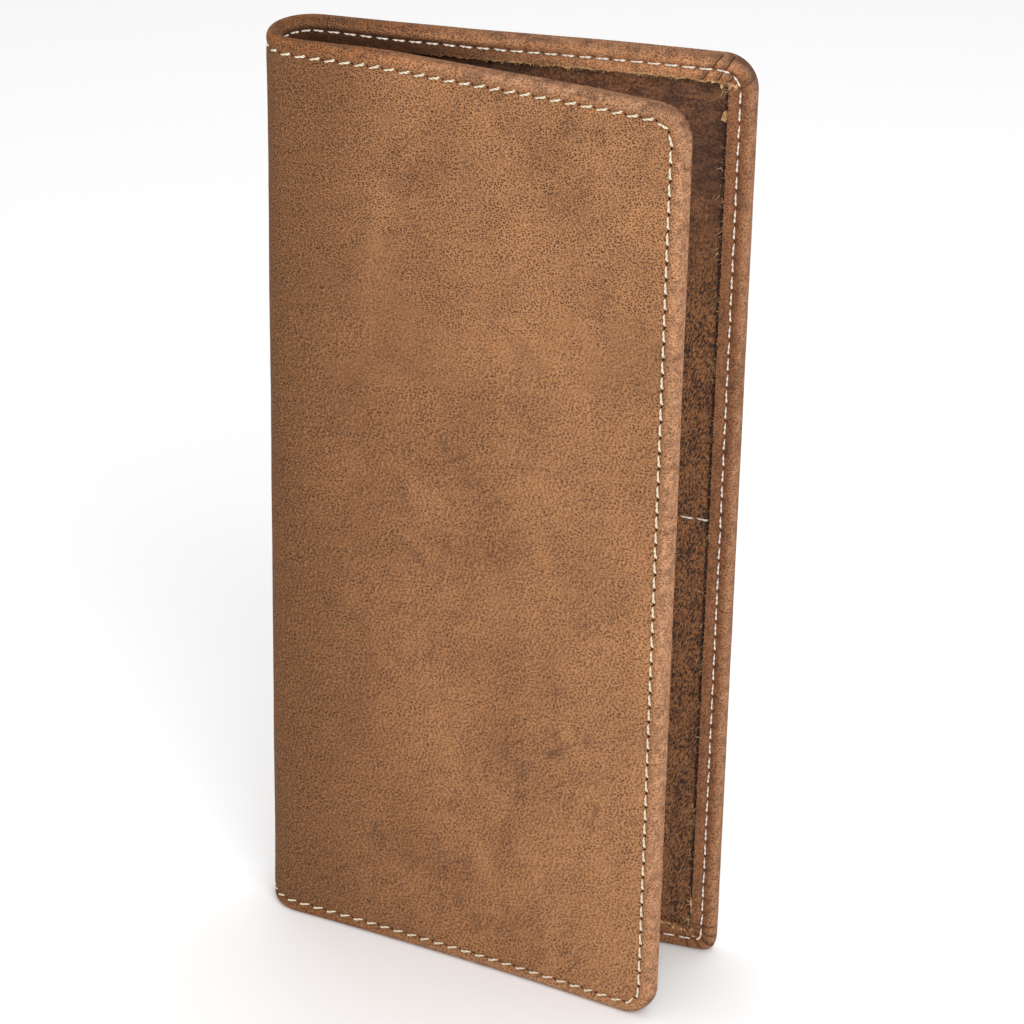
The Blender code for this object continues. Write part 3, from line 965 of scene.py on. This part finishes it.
def hide_grain_group():
    """Dark open pores, worn nap, cloudy smudges and creases, as masks over the flat hide."""
    n, given, result = group("hide_grain", {"Vector": (0, 0, 0), "Pore scale": HIDE_PORES},
                             ["Pores", "Nap", "Clouds", "Smudges", "Bands", "Creases"])
    flat = given["Vector"]
    wander = n.put("TexNoise", {"Vector": flat, "Scale": 420.0, "Detail": 1.0})["Color"]
    shift = n.put("VectorMath", {0: wander, 1: (0.0006, 0.0006, 0.0), 2: flat}, operation="MULTIPLY_ADD")[0]

    def cells(scale, angle, number, spread):
        sockets = {"Vector": n.stretched(shift, scale, angle), "Scale": number, "Randomness": spread}
        return n.put("TexVoronoi", sockets, voronoi_dimensions="2D")

    layers = []
    for scale, angle in PORE_LAYERS:
        pore = cells(scale, angle, given["Pore scale"], 0.82)
        layers.append(n.where((pore["Distance"], 0.41, 0.20), (n.split(pore["Color"])["X"], -0.60, 0.40)))
    lower = n.plus(n.noise(flat, 38.0), n.between(n.split(flat)["Y"], 0.19, 0.06))
    pores = n.put("Mix", {"Factor": n.between(lower, 0.82, 0.96), "A": layers[0], "B": layers[1]})[0]
    streaks = n.noise(n.stretched(flat, (0.62, 1.7), 0.15), 300.0, 3.0, 0.6)
    pores = n.times(pores, n.remap(streaks, 0.66, 1.0, 0.36, 0.60))
    fine = n.between(cells((0.8, 1.15), 0.5, FINE_PORES, 0.9)["Distance"], 0.46, 0.18)
    smudges = n.noise(n.stretched(flat, (1.35, 0.85)), 210.0, 5.0, 0.68, 0.3)
    bands = n.noise(n.stretched(flat, (2.6, 0.55)), 24.0, 3.0)
    strokes = n.noise(n.stretched(flat, (1.0, 5.0), 0.7), 130.0, 3.0, 0.6, 0.6)
    n.fill(result, {
        "Pores": n.most(pores, n.times(fine, 0.50)),
        "Nap": n.noise(flat, 1500.0, 3.0, 0.8),
        "Clouds": n.between(n.noise(flat, 70.0, 5.0, 0.6, 0.5), 0.34, 0.68),
        "Smudges": n.where((smudges, 0.47, 0.68), (n.noise(flat, 36.0), 0.42, 0.62)),
        "Bands": n.between(bands, 0.36, 0.66),
        "Creases": n.where((strokes, 0.60, 0.72), (n.noise(flat, 33.0, 1.0), 0.50, 0.66)),
    })
    return n.tree


def pleat_lines_group():
    """The dark feet of the pleats where the hem turns a corner."""
    n, given, result = group("pleat_lines", {"Turn": 0.0}, ["Lines"])
    away = [(n.size(n.minus(given["Turn"], spot - PLEAT_LINE_BACK)), size) for spot, size in PLEATS]
    n.fill(result, {"Lines": n.most(*(n.times(n.between(far, PLEAT_LINE, 0.0), size) for far, size in away))})
    return n.tree


def lap_lines_group():
    """The dark feet and the worn backs of the back half's straight laps, in mm from the hem's top corner."""
    n, given, result = group("lap_lines", {"Vector": (0, 0, 0)}, ["Feet", "Backs"])
    feet, backs = [], []
    for start, end, size in LAPS:
        way = Vector(end) - Vector(start)
        moved = n.put("VectorMath", {0: given["Vector"], 1: (*start, 0.0)}, operation="SUBTRACT")[0]
        parts = n.split(n.turned(moved, -math.atan2(way.y, way.x)))
        beside = n.plus(parts["Y"], n.times(n.work("SINE", n.times(parts["X"], 2.3)), 0.07))
        reach = n.times(n.band(parts["X"], -0.3, 0.3, way.length - 0.3, way.length + 0.3), size)
        feet.append(n.times(n.between(n.size(n.plus(beside, 0.12)), 0.24, 0.06), reach))
        backs.append(n.times(n.band(beside, 0.0, 0.2, 0.2, 1.5), reach))
    n.fill(result, {"Feet": n.most(*feet), "Backs": n.most(*backs)})
    return n.tree


def seam_marks_group():
    """The needle holes and the painted shade in the groove of one row of stitches, at a given distance
    across.
    """
    n, given, result = group("seam_marks", {"Vector": (0, 0, 0), "Line": 0.0, "Lean": 0.8},
                             ["Holes", "Groove"])
    parts = n.split(given["Vector"])
    across = n.minus(parts["Y"], given["Line"])
    along = n.times(n.minus(n.work("FRACT", n.plus(parts["X"], 0.5)), 0.5), STITCH["front"] * 1000)
    beside = n.times(n.plus(across, n.times(along, given["Lean"])), 1.7)
    lengthwise = n.minus(along, n.times(across, given["Lean"]))
    distance = n.work("SQRT", n.plus(n.times(beside, beside), n.times(lengthwise, lengthwise)))
    n.fill(result, {"Holes": n.between(distance, 0.52, 0.24), "Groove": n.between(n.size(across), 0.75, 0.1)})
    return n.tree


def distressed_leather(name, grain, marks, pleats, laps):
    """The outer hide: golden brown nubuck with dark pores, smudges, a paler rim and a raw cut edge."""
    made, n, shader = material(name, 0.85, Specular_IOR_Level=0.12)
    surface, edge = n.uv("grain"), n.uv("seam")
    spot, turn, across = n.split(surface), n.split(n.uv("turn")), n.split(edge)["Y"]
    masks = n.use(grain, {"Vector": surface})
    outer = n.use(marks, {"Vector": edge, "Lean": n.remap(turn["X"], 0.45, 0.95)})
    hem = n.use(marks, {"Vector": edge, "Line": (HEM_LINE - SEAM_LINE) * 1000})
    lapped = n.use(laps, {"Vector": n.uv("hem")})

    # Where the leather is: across the edge in mm from the seam, along it by how far the edge has turned
    rim_start, rim_end, cut = ((line - SEAM_LINE) * 1000 for line in (FLAT, HEM_START, ROLL))
    from_fold = n.size(spot["X"])
    on_back = n.between(spot["X"], -0.001, 0.001)
    rim = n.band(across, 0.2, rim_start + 1.0, rim_end - 1.5, rim_end)
    crown = n.band(across, rim_start + 1.2, rim_start + 2.6, rim_end - 1.6, rim_end - 0.2)
    inside = n.between(across, rim_end - 1.5, rim_end)
    edge_mask = n.most(rim, inside)
    over_rim = n.between(across, rim_end - 3.0, rim_end - 2.2)
    corner = n.band(turn["X"], 0.0, 0.35, 0.65, 1.0)
    low_corner = n.where((from_fold, 0.05, 0.09), (spot["Y"], 0.10, 0.02))
    middle = n.where((from_fold, 0.075, 0.050), (spot["Y"], 0.150, 0.110))
    top_row = n.where((turn["X"], 0.3, 0.8), (turn["Y"], 0.9, 0.95))
    straight = n.times(on_back, n.between(turn["Y"], 0.49, 0.51))

    # What has happened to it, and the shade painted in near the fold and along the seams
    rim_colour = n.mix(n.between(from_fold, 0.055, 0.020), RIM_TAN, RIM_RUST)
    # Painted shade: the hem inside and the crown near the fold are darkened where the slit between the halves
    # lies in shadow
    slit_shade = n.where((from_fold, 0.072, 0.026), (across, rim_end - 0.6, cut - 2.3))
    shaded = n.where((from_fold, 0.050, 0.010), (across, rim_end - 3.2, rim_end))
    handled = n.times(crown, n.most(n.between(turn["X"], 0.3, 0.9), n.times(on_back, 0.60)),
                      n.remap(masks["Smudges"], 0.4, 1.0))
    rubbed = n.times(corner, n.between(masks["Clouds"], 0.0, 0.8),
                     n.band(across, rim_start + 0.4, rim_start + 2.0, rim_end - 2.2, rim_end - 0.8))
    rim_smudges = n.times(rim, n.between(n.noise(surface, 330.0, 5.0, 0.72), 0.45, 0.64),
                          n.remap(turn["Y"], 0.42, 0.66, 0.80, 0.92))
    mottle = n.times(edge_mask, n.between(n.noise(surface, 620.0, 5.0, 0.78), 0.46, 0.60))
    pores_left = n.remap(n.times(edge_mask, n.between(from_fold, 0.015, 0.050)), 0.94, 0.66)
    pleated = n.times(n.use(pleats, {"Turn": turn["X"]})["Lines"], n.minus(1.0, straight))
    folds = n.times(n.plus(n.times(pleated, 0.8), n.times(lapped["Feet"], straight)), over_rim)
    torn = n.plus(across, n.times(n.noise(surface, 700.0, 4.0, 0.75), 1.9),
                  n.times(n.noise(surface, 150.0), 0.9), n.remap(turn["Y"], -0.28, 0.0))
    frayed = n.where((torn, cut + 1.15, cut + 1.40), (turn["X"], 0.15, 0.75),
                     (from_fold, FRAY_START, 2 * FRAY_START))
    colour = n.layered(n.mix(masks["Clouds"], GOLDEN, BROWN), [
        (masks["Bands"], 0.30, DUSKY),
        (low_corner, 0.3, HONEY),
        (n.between(from_fold, 0.050, 0.085), 0.2, HONEY),
        (middle, 0.16, DUSKY),
        (masks["Smudges"], 0.45, SMOKY),
        # Painted shade: darker towards the fold, where the surface turns away from the light
        (n.between(from_fold, 0.042, 0.006), 0.85, DUSKY),
        (n.between(masks["Nap"], 0.48, 0.66), 0.30, PALE_NAP),
        (n.between(masks["Nap"], 0.50, 0.34), 0.35, DUSKY),
        (rim, 0.60, rim_colour),
        (inside, 0.65, n.mix(top_row, HEM_BROWN, HEM_ORANGE)),
        (n.times(inside, masks["Smudges"]), 0.5, SMOKY),
        (slit_shade, 0.92, SLIT_SHADE),
        (shaded, 0.4, SLIT_SHADE),
        (handled, 1.0, CROWN_BROWN),
        (rubbed, 0.75, BURNISHED),
        (rim_smudges, 1.0, SMOKY),
        (masks["Creases"], 0.35, PORE),
        (mottle, 0.48, MOTTLE),
        (masks["Pores"], pores_left, PORE),
        # Painted shade in the groove that the thread pulls into the leather
        (n.most(outer["Groove"], hem["Groove"]), 0.30, GROOVE_SHADE),
        (n.times(lapped["Backs"], straight, over_rim), 0.60, SMOKY),
        (folds, 0.85, LAP_SHADE),
        (n.most(outer["Holes"], n.times(hem["Holes"], 0.35)), 1.0, HOLE_AND_SHADE_DARK),
        (frayed, 0.9, RAW_EDGE),
    ])
    height = n.minus(n.times(masks["Nap"], 0.35), n.times(masks["Pores"], 0.7), masks["Creases"],
                     n.times(folds, 2.0))
    n.dress(shader, colour, height, 0.00010, 0.7)
    return made


def mottled_leather(name, grain, strip_and_shadow):
    """Waxy pocket leather: even dark brown near the top, mottled brown and slate in steep strokes below."""
    made, n, shader = material(name, 0.66, Specular_IOR_Level=0.16)
    surface, margin = n.uv("grain"), n.split(n.uv("margin"))
    masks = n.use(grain, {"Vector": surface, "Pore scale": POCKET_PORES})
    strokes = n.noise(n.stretched(surface, (2.2, 0.75), 0.30), 1350.0, 4.0, 0.75, 0.3)
    broad = n.noise(n.stretched(surface, (1.6, 0.7)), 260.0, 4.0, 0.7)
    slate = n.between(n.plus(n.times(strokes, 0.74), n.times(broad, 0.26)), 0.44, 0.57)
    brushed = n.noise(n.stretched(surface, (0.7, 1.4)), 330.0, 5.0, 0.7)
    dusk = n.between(n.plus(n.times(masks["Nap"], 0.5), n.times(brushed, 0.5)), 0.43, 0.57)
    rubbed = n.between(n.noise(surface, 75.0, 4.0, 0.6), 0.40, 0.62)
    even = n.layered(n.mix(dusk, POCKET_DARK, POCKET_DUSK), [(rubbed, 0.5, POCKET_SLATE)])
    layers = [(masks["Pores"], 0.55, POCKET_PORE)]
    if strip_and_shadow:
        gap_end, strip_end = STRIP_GAP * 1000, (STRIP + STRIP_GAP) * 1000
        wavy = n.plus(margin["X"], n.times(n.noise(surface, 400.0), 0.3))
        # Painted shadow: a black line where the hem's cut edge shades the panel, and painted shade in the
        # panel's inner bottom corner
        gap_shadow = n.between(margin["X"], gap_end + 0.1, gap_end - 0.05)
        corner_shade = n.where((margin["X"], 1.6, 0.4),
                         (margin["Y"], (HEM_WIDTH + 0.0024) / HEIGHT, (HEM_WIDTH + 0.0006) / HEIGHT))
        layers += [(n.between(wavy, strip_end + 0.30, strip_end + 0.10), 0.85, STRIP_VIOLET),
                   (n.most(gap_shadow, corner_shade), 1.0, HOLE_AND_SHADE_DARK)]
    # Painted shade: darker far in towards the fold, where the slit between the halves lies in shadow
    layers.append((n.between(margin["X"], 28.0, 60.0), 0.8, HOLE_AND_SHADE_DARK))
    mottled = n.mix(slate, POCKET_BROWN, POCKET_SLATE)
    colour = n.layered(n.mix(n.between(margin["Y"], 0.72, 0.88), mottled, even), layers)
    height = n.minus(n.times(masks["Nap"], 0.3), masks["Pores"], n.times(slate, 0.6))
    n.dress(shader, colour, height, 0.00008, 0.6)
    return made


def loose_fibre(name, light, shade):
    """Fine hairs of split leather or thread, in two tones."""
    made, n, shader = material(name, 0.8)
    tone = n.noise(n.put("TexCoord", {})["Object"], 700.0)
    n.fill(shader, {"Base Color": n.mix(n.between(tone, 0.4, 0.6), light, shade)})
    return made


def woven_lining(name):
    """Dark brown lining cloth with a fine plain weave."""
    made, n, shader = material(name, 0.85)
    surface = n.uv("grain")
    parts = n.split(surface)
    weave = n.times(*(n.size(n.work("SINE", n.times(parts[axis], WEAVE_SCALE))) for axis in "XY"))
    colour = n.layered(n.mix(n.noise(surface, 90.0, 3.0), CLOTH, CLOTH_SHADE), [(weave, 0.35, CLOTH_LIGHT)])
    n.dress(shader, colour, weave, 0.00005, 0.6)
    return made


def waxed_thread(name, light, shade):
    """Twisted waxed thread, darker between its plies and where it enters the leather."""
    made, n, shader = material(name, 0.55, Sheen_Weight=0.1)
    parts = n.split(n.uv("thread"))
    ply = n.size(n.work("COSINE", n.times(parts["Y"], math.tau)))
    ends = n.between(n.size(n.minus(parts["X"], 0.5)), 0.38, 0.5)
    colour = n.layered(n.mix(n.between(ply, 0.0, 0.55), shade, light), [(ends, 0.8, THREAD_END)])
    n.dress(shader, colour, ply, 0.00006, 0.8)
    return made


def studio():
    """Plain pale floor, soft lights and a camera at the photograph's angle."""
    bm = bmesh.new()
    bmesh.ops.create_grid(bm, x_segments=1, y_segments=1, size=4.0)
    floor = added("floor", as_mesh(bm, "floor"))
    paint, _, shader = material("pale_floor", 0.9)
    shader.inputs["Base Color"].default_value = FLOOR_TONE
    floor.data.materials.append(paint)

    world = bpy.data.worlds.new("soft_sky")
    world.use_nodes = True
    sky = world.node_tree.nodes["Background"].inputs
    sky["Color"].default_value = (1.0, 1.0, 1.0, 1.0)
    sky["Strength"].default_value = SKY_STRENGTH
    bpy.context.scene.world = world

    aim = Vector((0.0, 0.0, MID_HEIGHT))
    for name, spot, size, power in LIGHTS:
        lamp = bpy.data.lights.new(name, "AREA")
        lamp.shape = "SQUARE"
        lamp.size = size
        lamp.energy = power
        holder = added(name, lamp)
        holder.location = spot
        holder.rotation_euler = (aim - Vector(spot)).to_track_quat("-Z", "Y").to_euler()

    turn, down, roll = (math.radians(value) for value in CAMERA_ANGLES)
    forward = Vector((math.sin(turn) * math.cos(down), math.cos(turn) * math.cos(down), -math.sin(down)))
    right = Vector((math.cos(turn), -math.sin(turn), 0.0))
    upward = right.cross(forward)
    right, upward = (math.cos(roll) * right + math.sin(roll) * upward,
                     math.cos(roll) * upward - math.sin(roll) * right)
    lens = bpy.data.cameras.new("camera")
    lens.lens = CAMERA_LENS
    lens.sensor_width = 36.0
    lens.clip_start, lens.clip_end = 0.01, 20.0
    camera = added("camera", lens)
    camera.matrix_world = (Matrix.Translation(FOLD_CENTRE + CAMERA_SPOT)
                           @ Matrix((right, upward, -forward)).transposed().to_4x4())
    bpy.context.scene.camera = camera


# The camera stands this far from the middle of the fold: turned, tipped down and rolled by these degrees
CAMERA_SPOT = Vector((0.25903, -0.59674, 0.39862))
CAMERA_ANGLES = (-20.084, 25.654, 1.167)
CAMERA_LENS = 131.85
FLOOR_TONE = (0.95, 0.95, 0.95, 1.0)
SKY_STRENGTH = 0.68
LIGHTS = [
    ("key", (0.55, -0.75, 0.75), 0.7, 7.8),
    ("fill", (-0.8, -0.6, 0.4), 0.9, 1.2),
    ("top", (0.0, 0.3, 1.0), 0.8, 2.8),
]

bpy.context.scene.view_settings.view_transform = "Standard"
studio()

# The hide's colours, then the pockets', the lining's and the thread's
GOLDEN = rgb(187, 133, 90)
BROWN = rgb(165, 116, 79)
HONEY = rgb(202, 146, 101)
DUSKY = rgb(118, 79, 49)
SLIT_SHADE = rgb(52, 30, 14)
SMOKY = rgb(98, 72, 56)
PALE_NAP = rgb(195, 143, 101)
RIM_TAN = rgb(212, 158, 120)
RIM_RUST = rgb(186, 120, 70)
MOTTLE = rgb(106, 66, 45)
HEM_BROWN = rgb(150, 98, 68)
HEM_ORANGE = rgb(229, 163, 116)
CROWN_BROWN = rgb(96, 61, 37)
BURNISHED = rgb(64, 46, 44)
PORE = rgb(44, 27, 22)
GROOVE_SHADE = rgb(116, 69, 38)
# One dark colour for the needle holes and for painted shade and shadow
HOLE_AND_SHADE_DARK = rgb(40, 24, 16)
LAP_SHADE = rgb(60, 36, 23)
RAW_EDGE = rgb(204, 162, 110)
POCKET_BROWN = rgb(168, 114, 74)
POCKET_SLATE = rgb(58, 45, 39)
POCKET_DARK = rgb(92, 61, 45)
POCKET_DUSK = rgb(152, 103, 72)
POCKET_PORE = rgb(44, 32, 28)
STRIP_VIOLET = rgb(70, 52, 49)
CLOTH = rgb(50, 33, 24)
CLOTH_SHADE = rgb(34, 23, 17)
CLOTH_LIGHT = rgb(66, 46, 34)
THREAD_END = rgb(120, 84, 52)
# How fine the weave and the pores are, and how each layer of pores is stretched and turned
WEAVE_SCALE = 9000.0
HIDE_PORES = 2120.0
POCKET_PORES = 1900.0
FINE_PORES = 3900.0
PORE_LAYERS = (((0.80, 1.04), 0.30), ((0.62, 1.20), -0.30))

hide_grain = hide_grain_group()
seam_marks = seam_marks_group()
pleat_lines = pleat_lines_group()
lap_lines = lap_lines_group()
outer_hide = distressed_leather("distressed_leather", hide_grain, seam_marks, pleat_lines, lap_lines)
pocket_hide = mottled_leather("mottled_leather", hide_grain, False)
strip_and_shadow_hide = mottled_leather("edged_mottled_leather", hide_grain, True)
lining_cloth = woven_lining("woven_lining")
cream_thread = waxed_thread("cream_thread", rgb(236, 226, 200), rgb(150, 126, 88))
white_thread = waxed_thread("white_thread", rgb(246, 238, 226), rgb(196, 172, 140))
tan_fibre = loose_fibre("tan_fibre", rgb(222, 188, 140), rgb(160, 122, 84))
split_leather = loose_fibre("split_leather", rgb(220, 178, 124), rgb(170, 124, 80))
dark_fibre = loose_fibre("dark_fibre", rgb(110, 84, 58), rgb(70, 52, 38))

for half in SIDES:
    cover_leather(half, outer_hide)
    seam_stitches(half, "seam", cream_thread)
    seam_stitches(half, "hem", white_thread)
    depth = COVER_LEATHER + LAYER_GAP
    panel(half, f"{half}_lining_cloth", 0.0, depth, LINING, 0.0, lining_cloth,
          [f"{half}_lining", "spine_lining"])
    depth += LINING + LAYER_GAP
    panel(half, f"{half}_wall_cloth", BEND_END + WALL_MOUTH, depth, WALL, 0.0, lining_cloth,
          [f"{half}_inner_wall"])

depth = COVER_LEATHER + LINING + WALL + 3 * LAYER_GAP
leathers = [(mouth, CARD_LEATHER) for mouth in CARD_MOUTHS] + [(TOP_CARD_MOUTH, TOP_CARD_LEATHER)]
for number, (mouth, leather) in enumerate(leathers, start=1):
    top = number == len(leathers)
    panel("back", f"card_pocket_leather_{number}", BEND_END + mouth, depth, leather, 0.0001 * number,
          strip_and_shadow_hide if top else pocket_hide, [f"card_pocket_{number}"], sunk=top)
    depth += leather + LAYER_GAP
depth = HEM_DEPTH - LAYER_GAP - SLIP_LEATHER
panel("front", "slip_pocket_leather", BEND_END + SLIP_MOUTH, depth, SLIP_LEATHER, 0.0003, pocket_hide,
      ["slip_pocket"])

divider_start = BEND_END + TOP_CARD_MOUTH + DIVIDER_INSET
divider_length = Outline("back").far - HEM_WIDTH - divider_start
divider_count = round(divider_length / STITCH["front"])


def on_divider(along, across, height):
    """A point along the stitched line that parts the upper bank of cards from the lower."""
    depth = HEM_DEPTH - LAYER_GAP + DIVIDER_RISE + height
    return place(divider_start + along, depth, DIVIDER_HEIGHT + across)


divider = stitch_row("divider", divider_length / divider_count, divider_count, lambda along: 0.0, on_divider,
                     "card_divider_stitches", white_thread, ["card_divider_thread"])
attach(divider, "back")

for half in SIDES:
    hem_fibres(half, tan_fibre)
    edge_nap(half, dark_fibre)
strip_fibres(tan_fibre)
torn_flakes(split_leather)
